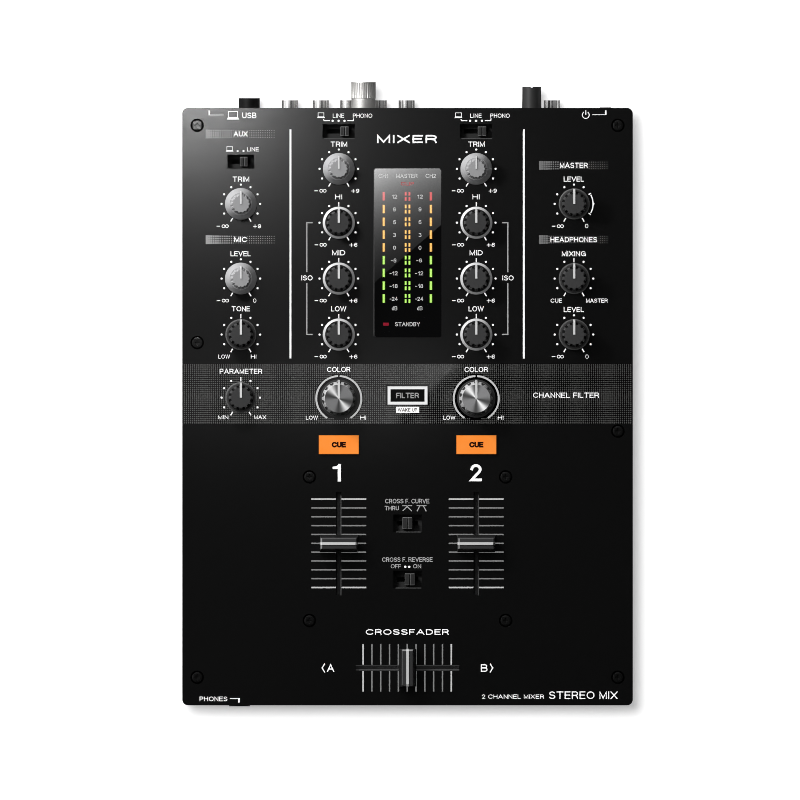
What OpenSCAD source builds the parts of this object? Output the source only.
// Two-channel desktop audio mixer.
// A folded steel tray, a front moulding and a rear connector plate carry a flat
// control panel. Rotary controls, slide switches, push buttons and three faders
// work through the panel. Z is up, Y points to the rear connectors, and the
// origin is at the bottom centre of the whole object's bounding box.

/* [Case] */
// Width of the control panel
panel_w = 230; // [229:0.5:236]
// Depth of the control panel, front to rear
panel_d = 305; // [304:0.5:312]
// Height of the panel's top face above the table
panel_z = 90; // [88:1:96]
// Thickness of the panel sheet
panel_t = 2; // [1.6:0.1:2.2]
// Corner radius of the panel, seen from above
corner_r = 3; // [2:0.5:4]
// Depth of the folded rim around the panel
rim_h = 12; // [10:1:13]
// Thickness of the folded rim
rim_t = 1.5; // [1.2:0.1:1.6]
// Height of the rubber feet
foot_h = 8; // [7:0.5:9]
// Sheet thickness of the tray
sheet_t = 1.2; // [1:0.1:1.5]
// How far the panel overhangs the rear connector plate
overhang = 5.5; // [5:0.5:6]

/* [Knobs] */
// Distance of the outer knob columns from the centre line
col_outer = 85.1; // [84:0.1:86]
// Distance of the channel columns from the centre line
col_channel = 35.1; // [34.5:0.1:35.5]
// Height of the knobs above the panel
knob_h = 17.9; // [16:0.1:19]
// Gap between a knob's skirt and the panel
knob_gap = 0.6; // [0.5:0.1:1]
// Radius of the potentiometer shafts
shaft_r = 3; // [2.9:0.1:3]

/* [Faders] */
// Travel of every fader
fader_travel = 45; // [40:1:45]
// Length of the fader slots in the panel
slot_l = 52.8; // [52:0.2:54]
// Width of the fader slots
slot_w = 2.7; // [2.5:0.1:3]
// Row of the channel faders, measured from the panel's centre
row_fader = -69.9; // [-71:0.1:-69]
// Row of the crossfader
row_cross = -133.3; // [-134:0.1:-132]

/* [Buttons and switches] */
// Width of the cue buttons
cue_w = 20.1; // [18:0.1:21]
// Depth of the cue buttons
cue_d = 9.3; // [8:0.1:10]
// Width of the filter button
filter_w = 20.1; // [18:0.1:21]
// Depth of the filter button
filter_d = 9.1; // [8:0.1:10]
// Height of the push buttons above the panel
button_up = 2; // [1.5:0.1:3]

/* [Rear connectors] */
// How far the ground terminal reaches past the panel's rear edge
ground_reach = 13.2; // [12:0.1:15]
// How far the headphone socket reaches past the panel's front edge
phones_reach = 0.5; // [0.3:0.1:1]
// Outer radius of a phono socket barrel
rca_r = 4.1; // [4:0.05:4.2]
// Length of a phono socket barrel outside the connector plate
rca_l = 9.4; // [9:0.1:10]
// Bore radius of the 6.35 mm sockets
jack_bore_r = 3.25; // [3.2:0.05:3.3]

/* [Hidden] */
$fn = 48;

// Thicknesses and fits
rear_t = 1.5;                        // connector plate
front_t = 3;                         // front moulding
pcb_t = 1.6;
bracket_t = 1.2;
gap = 0.1;                           // air between neighbouring parts
lap = 0.1;                           // overlap that joins two shapes of one part
fit = 0.06;                          // clearance of a socket round its shaft or blade
button_gap = 0.2;                    // clearance round a push button

// Levels
panel_under = panel_z - panel_t;
tray_z = foot_h;                     // underside of the tray
floor_z = tray_z + sheet_t;          // inside floor of the tray
board_z = panel_z - 18;              // underside of the control board
board_top = board_z + pcb_t;
bracket_z = panel_z - 14.6;          // underside of the fader bracket
bracket_top = bracket_z + bracket_t;
main_z = floor_z + 14.8;             // underside of the main board
main_top = main_z + pcb_t;
supply_z = floor_z + 6.2;            // underside of the power supply's board
cut_z = panel_under - 1;             // cutters that pierce the panel sheet
cut_h = panel_t + 2;

// Plan limits, measured from the panel's centre
tray_x = panel_w / 2 - rim_t - 0.3;  // outer face of the tray's sides
front_y = -panel_d / 2 + rim_t + 0.1; // outer face of the front moulding
rear_y = panel_d / 2 - overhang;     // outer face of the connector plate
plate_in_y = rear_y - rear_t;        // inner face of the connector plate
tray_front_y = front_y + front_t + gap;
y_shift = (phones_reach - ground_reach) / 2;

// Rows of the controls, measured from the panel's centre
row_trim = 121.4;
row_aux = 103.5;
row_hi = 93.9;
row_mid = 65.4;
row_low = 36.8;
row_fx = 4.1;
row_cue = -19.4;
row_filter = 5.7;

// Rotary controls: name, [x, y]
knobs = [
    ["aux_trim", [-col_outer, row_aux]],
    ["mic_level", [-col_outer, row_mid]],
    ["mic_tone", [-col_outer, row_low]],
    ["parameter", [-col_outer, row_fx + 0.5]],
    ["ch1_trim", [-col_channel, row_trim]],
    ["ch1_hi", [-col_channel, row_hi]],
    ["ch1_mid", [-col_channel, row_mid]],
    ["ch1_low", [-col_channel, row_low]],
    ["ch1_color", [-col_channel, row_fx]],
    ["ch2_trim", [col_channel, row_trim]],
    ["ch2_hi", [col_channel, row_hi]],
    ["ch2_mid", [col_channel, row_mid]],
    ["ch2_low", [col_channel, row_low]],
    ["ch2_color", [col_channel, row_fx]],
    ["master_level", [col_outer, row_aux]],
    ["phones_mix", [col_outer, row_mid]],
    ["phones_level", [col_outer, row_low]]];
function knob_spot(name) = [for (k = knobs) if (k[0] == name) k[1]][0];

// Slide switches: [x, y], opening [w, d], knob offset along x at rest, knob [w, d]
sw_aux = [[-col_outer, 125.1], [13.7, 7.2], 1.5, [3.8, 4.8]];
sw_ch1 = [[-35.2, 140.6], [16.4, 7.2], 3.03, [4.2, 4.8]];
sw_ch2 = [[35, 140.6], [16.4, 7.2], 3.03, [4.2, 4.8]];
sw_curve = [[0, -59.5], [14.5, 8.9], -0.1, [5, 6]];
sw_reverse = [[0, -88.2], [14.5, 8.9], 1.15, [5, 6]];
board_switches = [sw_aux, sw_ch1, sw_ch2];
bracket_switches = [sw_curve, sw_reverse];
function sw_spot(switch) = switch[0];
function sw_opening(switch) = switch[1];
function sw_offset(switch) = switch[2];
function sw_knob(switch) = switch[3];

// Faders and push buttons
channel_x = [-col_channel, col_channel];
cue_spots = [for (x = channel_x) [x, row_cue]];
filter_spot = [0, row_filter];
frame_h = 9;
channel_frame_w = 13;
cross_frame_w = 15;
guide_inset = 2.8;                   // from a fader frame's side to its guide rod
blade = [5, 1.2];                    // section of a fader lever's blade

// Panel screws [x, y]: six into the tray's tabs and four into the fader bracket
tray_screw_x = 107.4;
tray_screws = [
    [-tray_screw_x, 143.6], [tray_screw_x, 143.6], [-tray_screw_x, 32.7],
    [tray_screw_x, -12.5], [-tray_screw_x, -138.2], [tray_screw_x, -138.2]];
bracket_screws = [for (y = [-35.9, -109.2], x = [-50.1, 50.1]) [x, y]];
panel_screws = concat(tray_screws, bracket_screws);

// Level meter
meter_y = 78.5;
meter_w = 34.3;
meter_d = 86;
meter_row0 = 107.4;                  // row of the top segments
meter_pitch = 6.52;
meter_outer_x = [-12.15, 11.9];
meter_inner_x = [-0.95, 0.95];

// Connectors, as [x, z]
rca_x = [-60, -44.3, -30.3, -14.7, -0.5, 73.6];
rca_z = [34, 52];
mic = [-80.8, 44];
usb = [-101, 33];
ground = [-22.5, 69];
xlrs = [[20.3, 44], [45.3, 44]];
attenuator = [63.4, 66];
inlet = [91, 34];
power = [101, 62];
phones = [-85.8, 50];
jack_r = 5.35;                       // collar of a 6.35 mm socket
rca_hole_r = 3.4;                    // inside a phono barrel
xlr_screws = [for (s = [-1, 1]) [s * 9, s * 12]]; // from the socket's centre

// Screws, feet and board posts
screw_l = 6.2;
thread_r = 1.55;
foot_hole_r = 1.7;                   // also in the panel
plate_hole_r = 1.6;
foot_xy = [for (sx = [-1, 1], sy = [-1, 1]) [sx * 94, sy * 128 - y_shift]];
rear_screws = [[-107.5, 72], [107.5, 76], [-107.5, 15], [107.5, 15], [-52, 15], [52, 15]]; // [x, z]
main_posts = [for (x = [-104, -20, 72], y = [28, 138]) [x, y]];
supply_posts = [for (x = [14, 96], y = [-92, 8]) [x, y]];

// ---------------------------------------------------------------- helpers

module place() { translate([0, y_shift, 0]) children(); }

module up(z) { translate([0, 0, z]) children(); }

// At [x, y] on the table plane
module at(spot) { translate([spot.x, spot.y, 0]) children(); }

// At [x, z] on the connector plate's outer face
module at_rear(spot) { translate([spot[0], rear_y, spot[1]]) children(); }

module at_knob(name) { at(knob_spot(name)) children(); }

// At a channel fader, with x turned along its travel
module at_fader(x) { at([x, row_fader]) rotate([0, 0, 90]) children(); }

module at_crossfader() { at([0, row_cross]) children(); }

// Rectangle with rounded corners
module rounded(w, d, r) {
    square([w - 2 * r, d], center = true);
    square([w, d - 2 * r], center = true);
    for (sx = [-1, 1], sy = [-1, 1])
        translate([sx * (w / 2 - r), sy * (d / 2 - r)]) circle(r);
}

module plate(w, d, r, h) { linear_extrude(h) rounded(w, d, r); }

// Block centred in plan, standing on z = 0
module box(w, d, h) { translate([-w / 2, -d / 2, 0]) cube([w, d, h]); }

// Slot with round ends along x
module slot_x(l, w, h) {
    box(l - w, w, h);
    for (s = [-1, 1]) translate([s * (l - w) / 2, 0, 0]) cylinder(d = w, h = h);
}

// Cylinder along +y, starting at y
module rod_y(r, l, y = 0) { translate([0, y, 0]) rotate([-90, 0, 0]) cylinder(r = r, h = l); }

// Profile drawn in y and z, extruded along +x
module extrude_x(w, points) { rotate([90, 0, 90]) linear_extrude(w) polygon(points); }

// ---------------------------------------------------------------- case

// Rectangular cutter through the panel sheet
module opening(w, d) { up(cut_z) box(w, d, cut_h); }

// Control panel: flat sheet with a folded rim and every opening
module top_panel() color("#161616") difference() {
    up(panel_z - rim_h) plate(panel_w, panel_d, corner_r, rim_h);
    up(panel_z - rim_h - 1)
        plate(panel_w - 2 * rim_t, panel_d - 2 * rim_t, 0.4, rim_h + 1 - panel_t);
    for (k = knobs) at(k[1]) up(cut_z) cylinder(r = 3.9, h = cut_h);
    for (x = channel_x) at_fader(x) opening(slot_l, slot_w);
    at_crossfader() opening(slot_l, slot_w);
    for (s = concat(board_switches, bracket_switches))
        at(sw_spot(s)) opening(sw_opening(s).x, sw_opening(s).y);
    for (p = cue_spots) at(p) opening(cue_w + 2 * button_gap, cue_d + 2 * button_gap);
    at(filter_spot) opening(filter_w + 2 * button_gap, filter_d + 2 * button_gap);
    translate([0, meter_y, cut_z]) plate(meter_w + 0.3, meter_d + 0.3, 1.05, cut_h);
    for (p = panel_screws) at(p) {
        up(cut_z) cylinder(r = foot_hole_r, h = cut_h);
        up(panel_z - 1.3) cylinder(r = 3.45, h = 3);
    }
}

// Left edge and width of a tab that grows from the tray's side past a screw at x
function tab_left(x, reach) = x > 0 ? x - reach : -tray_x + sheet_t / 2;
function tab_w(x, reach) = tray_x - sheet_t / 2 - abs(x) + reach;

// Threaded tab that a panel screw holds; the rear ones stop at the connector plate
module screw_tab(p) {
    reach = 5;
    half_d = 6;
    tab_t = 4.1;
    depth = min(2 * half_d, plate_in_y - gap - p.y + half_d);
    difference() {
        translate([tab_left(p.x, reach), p.y - half_d, panel_under - gap - tab_t])
            cube([tab_w(p.x, reach), depth, tab_t]);
        at(p) up(panel_under - 6) cylinder(r = thread_r, h = 8);
    }
}

// Tab that a rear screw holds: out of a side, or out of the floor
module rear_tab(p) {
    reach = 4;
    tab_t = 4.5;
    tab_y = plate_in_y - gap - tab_t;
    if (abs(p[0]) < 100)
        translate([p[0] - 6, tab_y, floor_z - lap]) cube([12, tab_t, 11.9]);
    else
        translate([tab_left(p[0], reach), tab_y, p[1] - 5])
            cube([tab_w(p[0], reach), tab_t, 10]);
}

// Posts on the tray's floor
module posts(spots, h) { for (p = spots) at(p) up(floor_z - lap) cylinder(r = 3, h = h); }

// Folded steel tray: floor, two sides, vents, standoffs and screw tabs
module base_tray() color("#1b1b1c") {
    tray_d = plate_in_y - gap - tray_front_y;
    difference() {
        union() {
            translate([-tray_x, tray_front_y, tray_z]) cube([2 * tray_x, tray_d, sheet_t]);
            for (x = [-tray_x, tray_x - sheet_t])
                translate([x, tray_front_y, tray_z])
                    cube([sheet_t, tray_d, panel_under - gap - tray_z]);
            for (p = tray_screws) screw_tab(p);
            posts(main_posts, main_z - floor_z + lap);
            posts(supply_posts, supply_z - gap - floor_z + lap);
            for (p = rear_screws) rear_tab(p);
        }
        for (p = rear_screws) at_rear(p) rod_y(thread_r, 12, -12);
        for (p = foot_xy) at(p) up(tray_z - 1) cylinder(r = foot_hole_r, h = 6);
        // floor vents
        for (i = [0:8]) translate([-56, -70 + i * 8, tray_z - 1]) slot_x(50, 3, 4);
        // side vents
        for (s = [-1, 1], i = [0:11])
            translate([s * tray_x - 3, -44 + i * 9, 50]) cube([6, 3, 20]);
    }
}

// Moulded front, with a raked lower edge and a foot just above the tray's floor
module front_panel() color("#141414") difference() {
    foot_inset = 6;
    back_y = front_y + front_t;
    top_z = panel_under - gap;
    union() {
        translate([-tray_x, 0, 0]) extrude_x(2 * tray_x, [
            [front_y, top_z], [front_y, tray_z + 9], [front_y + 1, tray_z + 3],
            [back_y, tray_z], [back_y, top_z]]);
        translate([-tray_x + foot_inset, 0, 0]) extrude_x(2 * (tray_x - foot_inset), [
            [front_y + 2, floor_z + gap], [front_y + 9, floor_z + gap],
            [front_y + 9, floor_z + 2], [front_y + 2, floor_z + 6]]);
    }
    translate([phones[0], front_y - 1, phones[1]]) rod_y(jack_r + 0.1, 10);
}

// Round and rectangular cutters through the connector plate
module rear_hole(spot, r) { at_rear(spot) rod_y(r, 8, -4); }
module rear_window(spot, w, h) { at_rear(spot) translate([-w / 2, -4, -h / 2]) cube([w, 8, h]); }

// Steel connector plate with its ground bush
module rear_panel() color("#1b1b1c") difference() {
    union() {
        translate([-tray_x, plate_in_y, tray_z])
            cube([2 * tray_x, rear_t, panel_under - gap - tray_z]);
        at_rear(ground) rod_y(4.5, 6.5, -rear_t - 6);
    }
    for (x = rca_x, z = rca_z) rear_hole([x, z], 5.15);
    for (p = xlrs) {
        rear_hole(p, 10.7);
        for (screw = xlr_screws) rear_hole(p + screw, thread_r);
    }
    rear_hole(mic, jack_r + 0.15);
    at_rear(ground) rod_y(2.1, 16, -10);
    rear_hole(attenuator, 3.75);
    rear_window(usb, 12.4, 11.4);
    rear_window(inlet, 20.4, 12.4);
    rear_window(power, 6.6, 6.6);
    // small window above the USB port
    rear_window([usb[0], 60], 7, 3);
    for (p = rear_screws) rear_hole(p, plate_hole_r);
}

module feet() color("#0d0d0d") for (p = foot_xy) at(p) difference() {
    foot_r = 10.4;
    taper_h = 3;
    union() {
        cylinder(r1 = 9.4, r2 = foot_r, h = taper_h);
        up(taper_h) cylinder(r = foot_r, h = foot_h - taper_h);
    }
    up(-1) cylinder(r = 4.6, h = 5);
    cylinder(r = foot_hole_r, h = foot_h + 1);
}

// Recessed cross-head screw, head top at the local origin, pointing down
module cross_screw() difference() {
    head_h = 1;
    union() {
        up(-head_h) cylinder(r = 2.6, h = head_h);
        up(-screw_l) cylinder(r = 1.5, h = screw_l - head_h + lap);
    }
    for (a = [0, 90]) rotate([0, 0, a]) up(-0.6) box(3, 0.6, 1);
}

// Screw driven forward through the connector plate, its head top behind the plate's face
module rear_screw(spot, head_y) {
    at_rear(spot) translate([0, head_y, 0]) rotate([-90, 0, 0]) cross_screw();
}

// Ten in the panel, four in the feet, six in the connector plate, four in the XLR flanges
module screws() color("#1c1c1c") {
    for (p = panel_screws) at(p) up(panel_z - 0.3) cross_screw();
    for (p = foot_xy) at(p) up(2.9) rotate([180, 0, 0]) cross_screw();
    for (p = rear_screws) rear_screw(p, 1.05);
    for (p = xlrs, screw = xlr_screws) rear_screw(p + screw, 2.9);
}

// ---------------------------------------------------------------- meter

module meter_window() color("#0a0a0a", 0.9) {
    translate([0, meter_y, cut_z]) plate(meter_w, meter_d, 0.9, panel_t + 1.2);
    translate([0, meter_y, cut_z - 0.1]) box(meter_w + 3, meter_d + 3, 1);
}

// Every lit segment between two heights, each enlarged by grow in width and depth
module meter_segments(grow, z0, z1) {
    module segment(x, y, w, d) translate([x, y, z0]) box(w + grow, d + grow, z1 - z0);
    for (i = [0:8]) {
        y = meter_row0 - i * meter_pitch;
        for (x = meter_outer_x) segment(x, y, 1.4, 4.3);
        for (x = meter_inner_x, s = [-1, 1]) segment(x, y + s * 1.32, 1.15, 1.85);
    }
    // one bar beyond the top row and one at the lower left
    segment(0, 113.8, 6, 1.6);
    segment(-11, 42.1, 2.8, 1.5);
}

module meter_baffle() color("#101010") difference() {
    translate([0, meter_y, panel_under - 7.2]) box(meter_w + 2, meter_d + 2, 6);
    meter_segments(0.2, panel_under - 8, panel_under);
}

module meter_leds() color("#9be04a") meter_segments(0, board_top + gap, panel_under - 1.4);

// ---------------------------------------------------------------- boards

module control_board() color("#0e4a2c") difference() {
    translate([-108, -29, board_z]) cube([216, 174.2, pcb_t]);
    // notches round the tray's screw tabs
    for (p = tray_screws)
        translate([p.x > 0 ? p.x - 7 : p.x - 3, p.y - 8, board_z - 1]) cube([10, 16, 4]);
    // notch round the ground terminal's bush
    translate([ground[0] - 5.5, plate_in_y - 8, board_z - 1]) cube([11, 12, 4]);
}

module pot() difference() {
    union() {
        box(10.5, 11.5, 6.4);
        cylinder(r = 3.7, h = 12);
    }
    up(1.4) cylinder(r = shaft_r + 2 * fit, h = 12);
}

module pot_bodies() color("#8f9092") {
    for (k = knobs) at(k[1]) up(board_top) pot();
    at_rear(attenuator) translate([0, -11.5, 0]) rotate([-90, 0, 0]) pot();
}

// Switch housing on a support at height base_z, with a flange under the panel
module switch_body(switch, base_z) at(sw_spot(switch)) difference() {
    w = sw_opening(switch).x;
    d = sw_opening(switch).y;
    flange_z = panel_under - 3;
    union() {
        up(base_z) box(w + 1, d + 1, flange_z - base_z);
        up(flange_z) box(w + 3, d + 2.2, 1.2);
    }
    up(panel_under - 6) box(w - 4, 2.4, 8);
}

module slide_switch_bodies() color("#121212") {
    for (s = board_switches) switch_body(s, board_top);
    for (s = bracket_switches) switch_body(s, bracket_top);
}

module push_switches() color("#303030")
    for (p = concat(cue_spots, [filter_spot])) at(p) up(board_top) {
        box(6, 6, 3.4);
        up(3.3) cylinder(r = 1.7, h = 1.7);
    }

// Latching mains switch behind the connector plate
module power_switch_body() color("#2a2a2a")
    at_rear(power) translate([-6.5, -rear_t - 27, -6]) difference() {
        cube([13, 20, 12]);
        translate([4.3, 13, 3.8]) cube([4.4, 8, 4.4]);
    }

module main_board() color("#0e4a2c") difference() {
    translate([-108, 22, main_z]) cube([192, plate_in_y - 24, pcb_t]);
    for (p = main_posts) at(p) up(main_z - 1) cylinder(r = plate_hole_r, h = 4);
}

// Supply board with its components
module power_supply() {
    part_h = 24;
    color("#0e4a2c") translate([8, -98, supply_z]) cube([94, 112, pcb_t]);
    up(supply_z + pcb_t) {
        // yellow block
        color("#c9a227") at([46, -40]) box(34, 30, part_h);
        // three black cylinders
        color("#1a1a1a") for (p = [[78, -52], [78, -34], [20, -70]])
            at(p) cylinder(r = 7, h = part_h);
        // grey block with seven slots open at the top and rear
        color("#8f9092") at([28, -2]) difference() {
            box(38, 14, part_h);
            for (i = [-3:3]) translate([i * 5, 3, 4]) box(2.6, 12, 30);
        }
        // two off-white blocks
        color("#e8e6dc") at([88, 4]) box(12, 8, 8);
        color("#e8e6dc") at([20, -86]) box(16, 8, 8);
    }
}

// Flat ribbon of width w, bowed to the rear, from the main board at y0 up to y1, z1
module ribbon(x, w, y0, y1, z1) {
    steps = 16;
    bow = 7;
    thickness = 0.9;
    z0 = main_top + 0.2;
    path = [for (i = [0:steps])
        let (t = i / steps, ease = (1 - cos(180 * t)) / 2)
        [y0 + (y1 - y0) * ease + bow * sin(180 * t), z0 + (z1 - z0) * t]];
    back = [for (i = [steps:-1:0]) path[i] + [thickness, 0]];
    translate([x - w / 2, 0, 0]) extrude_x(w, concat(path, back));
}

module ribbon_cables() color("#b9bcc0") {
    board_end_z = board_z - 0.2;
    ribbon(x = -60, w = 34, y0 = 60, y1 = 66, z1 = board_end_z);
    ribbon(x = 0, w = 26, y0 = 50, y1 = -24, z1 = board_end_z);
    ribbon(x = 40, w = 14, y0 = 34, y1 = 30, z1 = board_end_z);
    // forward to the fader bracket
    ribbon(x = -40, w = 20, y0 = 30, y1 = -60, z1 = bracket_z - 0.3);
}

// ---------------------------------------------------------------- faders

// Pair of rods along x at a fader frame's guide places
module guide_rods(frame_w, r, l) {
    for (s = [-1, 1])
        translate([-l / 2, s * (frame_w / 2 - guide_inset), bracket_top + frame_h / 2])
            rotate([0, 90, 0]) cylinder(r = r, h = l);
}

// Fader housing along x: a channel with end walls, two guide rods and a top slot
module fader_frame(w) {
    l = fader_travel + 22;
    up(bracket_top) difference() {
        box(l, w, frame_h);
        up(1) box(l - 4, w - 2, frame_h - 2);
        up(frame_h - 2) box(fader_travel + 8, 2.4, 4);
    }
    guide_rods(w, 0.9, l - 3);
}

module channel_fader_frames() color("#a7a9ab")
    for (x = channel_x) at_fader(x) fader_frame(channel_frame_w);

module crossfader_frame() color("#a7a9ab") at_crossfader() fader_frame(cross_frame_w);

// Steel plate under the faders, hung from the panel by four threaded standoffs
module fader_bracket() color("#9a9c9e") difference() {
    union() {
        translate([-56, -144, bracket_z]) cube([112, 113, bracket_t]);
        for (p = bracket_screws)
            at(p) up(bracket_top - lap) cylinder(r = 3.4, h = panel_under - bracket_top);
    }
    for (p = bracket_screws) at(p) up(bracket_z - 1) cylinder(r = thread_r, h = 20);
    translate([0, -40, bracket_z - 1]) cylinder(r = 4, h = 4);
    for (x = [-14, 14]) translate([x, -74, bracket_z - 1]) slot_x(8, 4, 4);
}

// Felt strips that close a fader slot around the lever
module felt_pair() {
    l = slot_l + 3;
    w = 4;
    inner_y = 0.85;
    for (y = [-inner_y - w, inner_y])
        translate([-l / 2, y, panel_under - 0.9]) cube([l, w, 0.8]);
}

module fader_dust_felts() color("#3c3c3c") {
    for (x = channel_x) at_fader(x) felt_pair();
    at_crossfader() felt_pair();
}

// Fader lever: steel blade on a carriage that runs along x on the guide rods
module fader_lever(frame_w) difference() {
    blade_z = bracket_top + 6;
    union() {
        up(bracket_top + 2) box(9, frame_w - 2.6, 5);
        up(blade_z) box(blade.x, blade.y, panel_z + 7 - blade_z);
    }
    guide_rods(frame_w, 1.05, 12);
}

module channel_lever(x) color("#b5b7b9") at_fader(x) fader_lever(channel_frame_w);

module crossfader_lever() color("#b5b7b9") at_crossfader() fader_lever(cross_frame_w);

// Fader cap: a finger grip, long across the travel, on a flared base
module fader_cap() {
    base_z = panel_z + 1.2;
    half_l = 9.65;
    brim_h = 1.2;
    top_h = 11.2;

    // Tilted cutter at the end of the cap on side s
    module end_cut(s, y, z, tilt, h)
        translate([0, s * y, base_z + z]) rotate([s * tilt, 0, 0])
            translate([-6, s > 0 ? 0 : -4, 0]) cube([12, 4, h]);

    difference() {
        // profile across the cap's length, drawn in x and z
        translate([0, half_l, base_z]) rotate([90, 0, 0]) linear_extrude(2 * half_l) polygon([
            [-4.5, 0], [4.5, 0], [4.5, brim_h], [3.1, 4.5], [2.65, 8], [2.8, 11],
            [2.4, top_h], [0.75, top_h], [0.75, 11.5], [-0.75, 11.5], [-0.75, top_h],
            [-2.4, top_h], [-2.8, 11], [-2.65, 8], [-3.1, 4.5], [-4.5, brim_h]]);
        for (s = [-1, 1]) {
            // sloped end above the brim, then the bevel of the top
            end_cut(s, y = half_l, z = brim_h, tilt = 3.6, h = 14);
            end_cut(s, y = 8.5, z = top_h, tilt = -24, h = 4);
        }
        // socket for the lever
        up(base_z - 1) box(blade.x + 2 * fit, blade.y + 2 * fit, 7);
    }
}

module channel_cap(x) color("#2b2b2b") at_fader(x) fader_cap();

module crossfader_cap() color("#2b2b2b") at_crossfader() fader_cap();

// ---------------------------------------------------------------- rotary controls

skirt_z = panel_z + knob_gap;        // underside of a knob
knob_top = panel_z + knob_h - 0.25;  // top of the grip, below the pointer's crest
shaft_top = panel_z + 12;
flat_x = 1.6;                        // from the shaft's axis to its flat

// D-section shaft, flat on its +x side
module shaft() difference() {
    shaft_z = board_top + 1.5;
    up(shaft_z) cylinder(r = shaft_r, h = shaft_top - shaft_z);
    translate([flat_x, -4, shaft_top - 10]) cube([4, 8, 11]);
}

// Keyed socket for the shaft
module shaft_socket() difference() {
    up(panel_z - 1) cylinder(r = shaft_r + fit, h = shaft_top - panel_z + 1 + fit);
    translate([flat_x + fit, -4, shaft_top - 9.9]) cube([4, 8, 11]);
}

// Fluted, tapered grip. Flutes of radius flute_r are centred flute_out beyond the
// surface; fade lets them run out towards the top.
module grip(r1, r2, z, flutes, flute_r, flute_out, fade = 0) difference() {
    h = knob_top - z;
    up(z) cylinder(r1 = r1, r2 = r2, h = h);
    for (i = [0:flutes - 1])
        rotate([0, 0, (i + 0.5) * 360 / flutes]) translate([r1 + flute_out, 0, z])
            rotate([0, -atan((r1 - r2 - fade) / h), 0]) up(1.5) cylinder(r = flute_r, h = h + 1);
}

// Pointer fin, from the middle of the top down the rear of the grip
module fin(r_top, r_foot, z, w = 0.9) {
    crest_z = knob_top + 0.25;
    translate([-w / 2, 0, 0]) extrude_x(w, [
        [0, z], [r_foot, z], [r_foot, z + 0.5], [r_top + 0.3, crest_z], [0, crest_z]]);
}

module trim_knob() color("#9c9d9f") {
    skirt_r = 8.1;
    skirt_h = 0.8;
    top_r = 4.4;
    difference() {
        union() {
            up(skirt_z) cylinder(r = skirt_r, h = skirt_h);
            up(skirt_z + skirt_h) cylinder(r1 = skirt_r, r2 = 5.7, h = 5);
            grip(5.5, top_r, skirt_z + 4, flutes = 14, flute_r = 0.7, flute_out = 0.3);
            fin(top_r, 6.7, skirt_z + 2);
        }
        shaft_socket();
    }
    shaft();
}

// Dark fluted cap, with or without a skirt of its own
module eq_cap(skirt) difference() {
    skirt_r = 7.9;
    skirt_h = 1.3;
    top_r = 5.4;
    union() {
        up(skirt_z) cylinder(r = 6.45, h = 2.6);
        if (skirt) up(skirt_z) cylinder(r = skirt_r, h = skirt_h);
        if (skirt) up(skirt_z + skirt_h) cylinder(r1 = skirt_r, r2 = 7.1, h = 0.34);
        grip(6.35, top_r, skirt_z + 2, flutes = 12, flute_r = 0.95, flute_out = 0.45);
        fin(top_r, skirt ? 7.6 : 6.9, skirt_z + 1.2);
    }
    shaft_socket();
}

// Dark cap in a light skirt ring
module eq_knob() {
    ring_r = 8.2;
    ring_h = 0.7;
    color("#202020") eq_cap(false);
    color("#d8d8d8") up(skirt_z) difference() {
        union() {
            cylinder(r = ring_r, h = ring_h);
            up(ring_h) cylinder(r1 = ring_r, r2 = 7, h = 1.3);
        }
        up(-1) cylinder(r = 6.5, h = 4);
    }
    shaft();
}

module plain_knob() color("#202020") {
    eq_cap(true);
    shaft();
}

module color_knob() color("#b4b4b6") {
    difference() {
        union() {
            up(skirt_z) cylinder(r = 9.75, h = 1.4);
            grip(8.75, 7.15, skirt_z + 1,
                flutes = 14, flute_r = 1.35, flute_out = 0.4, fade = 0.95);
            fin(7.1, 9.6, skirt_z + 1.2, w = 1);
        }
        shaft_socket();
    }
    shaft();
}

// Small rear knob on a shaft along y, with a slot across its end
module rear_attenuator_knob() color("#1e1e1e") at_rear(attenuator) {
    difference() {
        union() {
            rod_y(5.1, 4, 1);
            translate([0, 5, 0]) rotate([-90, 0, 0]) cylinder(r1 = 4.95, r2 = 4.75, h = 11.3);
        }
        rod_y(shaft_r + fit, 10);
        translate([-0.5, 15.9, -5.5]) cube([1, 2, 11]);
    }
    rod_y(shaft_r, 19.9, -10);
}

// ---------------------------------------------------------------- switches and buttons

// Grooved slide knob with a tongue into the switch housing
module slide_knob(switch) color("#1a1a1a") at(sw_spot(switch) + [sw_offset(switch), 0]) {
    w = sw_knob(switch).x;
    d = sw_knob(switch).y;
    difference() {
        up(panel_under - 1.6) box(w, d, 5);
        up(panel_under + 2.6) box(0.8, d + 1, 2);
    }
    up(panel_under - 5) box(2.2, 2, 3.5);
}

// Push button cap with a retaining flange and a plunger
module button_cap(w, d) {
    flange_z = panel_under - 2;
    plunger_z = board_top + 5.7;
    up(flange_z) box(w, d, panel_z + button_up - flange_z);
    up(flange_z) box(w + 2.4, d + 2.4, 1.2);
    up(plunger_z) cylinder(r = 2, h = flange_z - plunger_z + lap);
}

module cue_button(x) color("#ff922e") at([x, row_cue]) button_cap(cue_w, cue_d);

// White button with a black inlay sunk in its top
module filter_button() at(filter_spot) {
    top_z = panel_z + button_up;
    color("#f2f2f2") difference() {
        button_cap(filter_w, filter_d);
        up(top_z - 1) box(filter_w - 2.7, filter_d - 2.7, 2);
    }
    color("#080808") up(top_z - 0.95) box(filter_w - 2.8, filter_d - 2.8, 0.9);
}

// Square button with a plunger into the mains switch
module power_button() color("#181818") at_rear(power) {
    inner_y = -rear_t - 1.5;
    translate([-3, inner_y, -3]) cube([6, overhang + 0.3 - inner_y, 6]);
    translate([-2, -rear_t - 10, -2]) cube([4, 9, 4]);
}

// ---------------------------------------------------------------- connectors

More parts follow.
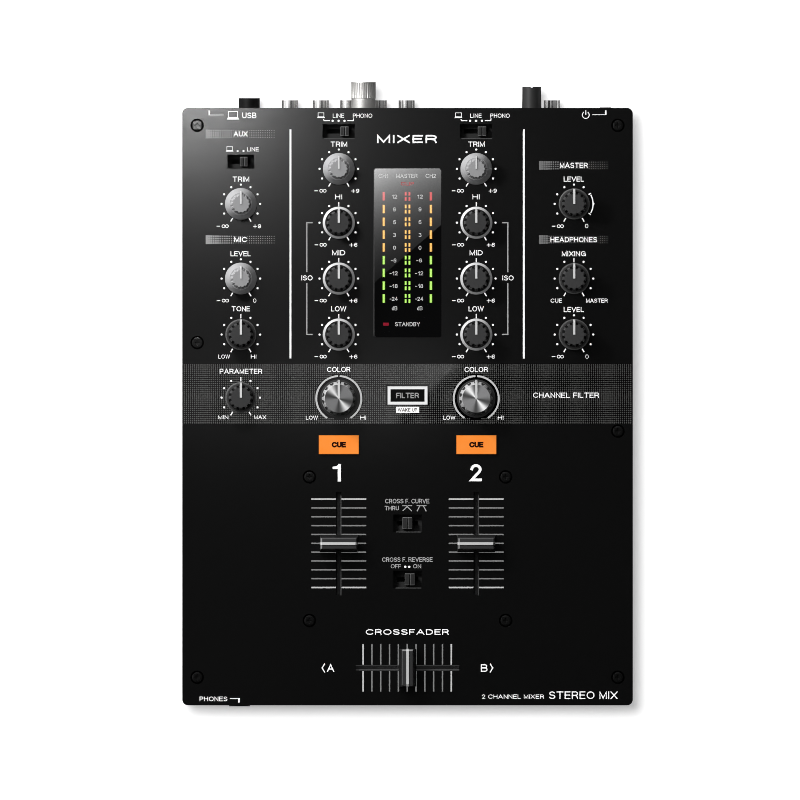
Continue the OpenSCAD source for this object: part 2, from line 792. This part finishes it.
// Two phono sockets, one above the other: plastic block with insulators, metal barrels
module rca_pair(x) at_rear([x, 0]) {
    start_y = -rear_t - 1;
    color("#151515") difference() {
        union() {
            translate([-6, -rear_t - 14, main_top + gap]) cube([12, 13.8, 34]);
            for (z = rca_z) up(z) rod_y(5, rear_t + 0.95, start_y);
            for (z = rca_z) up(z) rod_y(rca_hole_r - 0.05, rear_t + rca_l + 0.2, start_y);
        }
        for (z = rca_z) up(z) rod_y(1.6, 30, -rear_t - 6);
    }
    color("#cfcfd2") for (z = rca_z) up(z) difference() {
        rod_y(rca_r, rca_l);
        rod_y(rca_hole_r, 30, -1);
    }
}

module rca_jacks() for (x = rca_x) rca_pair(x);

// Male three-pin outputs, each in its own flanged shell
module xlr_outputs() color("#202022") for (p = xlrs) at_rear(p) {
    pin_circle_r = 4.1;
    difference() {
        union() {
            translate([-12, 0.05, -15]) cube([24, 1.8, 30]);
            rod_y(10.5, 18.1, -18);
        }
        rod_y(9.2, 20, -16);
        for (screw = xlr_screws) translate([screw[0], 0, screw[1]]) rod_y(plate_hole_r, 6, -1);
    }
    for (a = [90, 210, 330])
        translate([pin_circle_r * cos(a), 0, pin_circle_r * sin(a)]) rod_y(1.2, 14, -17);
}

// 6.35 mm socket along +y, outer end of the collar at the local origin
module quarter_jack(collar_l) difference() {
    union() {
        rod_y(jack_r, collar_l, -collar_l);
        translate([-7, -collar_l - 24, -7]) cube([14, 24 + lap, 14]);
    }
    rod_y(jack_bore_r, collar_l + 21, -collar_l - 20);
}

module quarter_inch_jacks() color("#151515") {
    mic_reach = overhang + 5;
    at_rear(mic) translate([0, mic_reach, 0]) quarter_jack(mic_reach + rear_t + 0.2);
    translate([phones[0], -panel_d / 2 - phones_reach, phones[1]])
        rotate([0, 0, 180]) quarter_jack(phones_reach + rim_t + 3.3);
}

// Metal block with a cavity left open round a central tongue
module usb_port() color("#c4c5c8") at_rear(usb) difference() {
    translate([-6, -16, -5.5]) cube([12, 16.4, 11]);
    for (z = [-4.7, 1.7]) translate([-5.2, -11, z]) cube([10.4, 12, 3]);
    for (x = [-5.2, 4]) translate([x, -11, -1.8]) cube([1.2, 12, 3.6]);
}

// Two-pin inlet with a figure-of-eight opening
module ac_inlet() color("#141414") at_rear(inlet) {
    pin_x = 4.2;
    difference() {
        union() {
            translate([-12, 0.05, -8]) cube([24, 1.6, 16]);
            translate([-10, -20, -6]) cube([20, 20.1, 12]);
        }
        for (s = [-1, 1]) translate([s * pin_x, 0, 0]) rod_y(4.3, 20, -14);
        translate([-pin_x, -14, -3]) cube([2 * pin_x, 20, 6]);
    }
    for (s = [-1, 1]) translate([s * pin_x, 0, 0]) rod_y(1.1, 13, -15);
}

// Knurled ground screw: head, captive washer and threaded shank
module ground_terminal_screw() color("#b9b8b4") at_rear(ground) {
    head_y = 3.4;
    knurls = 30;
    difference() {
        rod_y(6.25, overhang + ground_reach - head_y, head_y);
        for (i = [0:knurls - 1])
            rotate([0, i * 360 / knurls, 0])
                translate([6.4, 0, 0]) rod_y(0.3, ground_reach - 5.6, overhang + 5);
        // shallow groove in front of the knurling
        difference() {
            rod_y(7, 0.45, overhang + 4.3);
            rod_y(6.02, 40);
        }
    }
    rod_y(5.2, 1.9, 1.6);
    rod_y(2, rear_t + 9, -rear_t - 7);
}

// ---------------------------------------------------------------- output

place() top_panel();
place() base_tray();
place() front_panel();
place() rear_panel();
place() meter_window();
place() meter_baffle();
place() meter_leds();
place() control_board();
place() pot_bodies();
place() slide_switch_bodies();
place() push_switches();
place() channel_fader_frames();
place() crossfader_frame();
place() fader_bracket();
place() fader_dust_felts();
place() main_board();
place() rca_jacks();
place() xlr_outputs();
place() quarter_inch_jacks();
place() usb_port();
place() power_supply();
place() ac_inlet();
place() feet();
place() power_switch_body();
place() screws();
place() ribbon_cables();
place() at_knob("aux_trim") trim_knob();  // aux_trim_knob
place() at_knob("mic_level") trim_knob();  // mic_level_knob
place() at_knob("mic_tone") plain_knob();  // mic_tone_knob
place() at_knob("parameter") plain_knob();  // parameter_knob
place() at_knob("ch1_trim") trim_knob();  // ch1_trim_knob
place() at_knob("ch1_hi") eq_knob();  // ch1_hi_knob
place() at_knob("ch1_mid") eq_knob();  // ch1_mid_knob
place() at_knob("ch1_low") eq_knob();  // ch1_low_knob
place() at_knob("ch1_color") color_knob();  // ch1_color_knob
place() at_knob("ch2_trim") trim_knob();  // ch2_trim_knob
place() at_knob("ch2_hi") eq_knob();  // ch2_hi_knob
place() at_knob("ch2_mid") eq_knob();  // ch2_mid_knob
place() at_knob("ch2_low") eq_knob();  // ch2_low_knob
place() at_knob("ch2_color") color_knob();  // ch2_color_knob
place() at_knob("master_level") plain_knob();  // master_level_knob
place() at_knob("phones_mix") plain_knob();  // phones_mix_knob
place() at_knob("phones_level") plain_knob();  // phones_level_knob
place() rear_attenuator_knob();
place() slide_knob(sw_aux);  // aux_input_switch
place() slide_knob(sw_ch1);  // ch1_input_switch
place() slide_knob(sw_ch2);  // ch2_input_switch
place() slide_knob(sw_curve);  // curve_switch
place() slide_knob(sw_reverse);  // reverse_switch
place() channel_cap(-col_channel);  // ch1_fader_cap
place() channel_lever(-col_channel);  // ch1_fader_lever
place() channel_cap(col_channel);  // ch2_fader_cap
place() channel_lever(col_channel);  // ch2_fader_lever
place() crossfader_cap();
place() crossfader_lever();
place() cue_button(-col_channel);  // ch1_cue_button
place() cue_button(col_channel);  // ch2_cue_button
place() filter_button();
place() power_button();
place() ground_terminal_screw();
